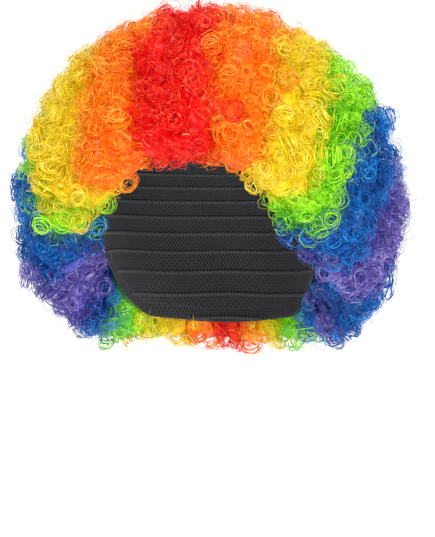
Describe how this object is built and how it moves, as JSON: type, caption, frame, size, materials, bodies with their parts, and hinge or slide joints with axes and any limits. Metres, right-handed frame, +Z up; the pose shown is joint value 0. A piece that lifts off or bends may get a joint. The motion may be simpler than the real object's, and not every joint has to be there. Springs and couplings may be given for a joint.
{
  "type": "curly rainbow clown wig",
  "caption": "Round curly party wig in rainbow stripes that run from the hairline over the crown to the nape, sewn on a knitted cap that is open for the head.",
  "frame": {"origin": "inside of the cap's crown, where the top of the head meets it", "axes": "+Z up, -Y the way the wearer looks, +X the wearer's left"},
  "size_m": [0.2675, 0.2604, 0.2394],
  "materials": {
    "net": "dark elastic knitted net",
    "red_hair": "glossy curled synthetic fibre",
    "orange_hair": "glossy curled synthetic fibre",
    "yellow_hair": "glossy curled synthetic fibre",
    "green_hair": "glossy curled synthetic fibre",
    "blue_hair": "glossy curled synthetic fibre",
    "purple_hair": "glossy curled synthetic fibre"
  },
  "bodies": {
    "root": {"cap": "net", "hair_purple_right": "purple_hair", "hair_blue_right": "blue_hair", "hair_green_right": "green_hair", "hair_yellow_right": "yellow_hair", "hair_orange_right": "orange_hair", "hair_red": "red_hair", "hair_orange_left": "orange_hair", "hair_yellow_left": "yellow_hair", "hair_green_left": "green_hair", "hair_blue_left": "blue_hair", "hair_purple_left": "purple_hair", "hair_blue_low_left": "blue_hair"}
  },
  "joints": []
}
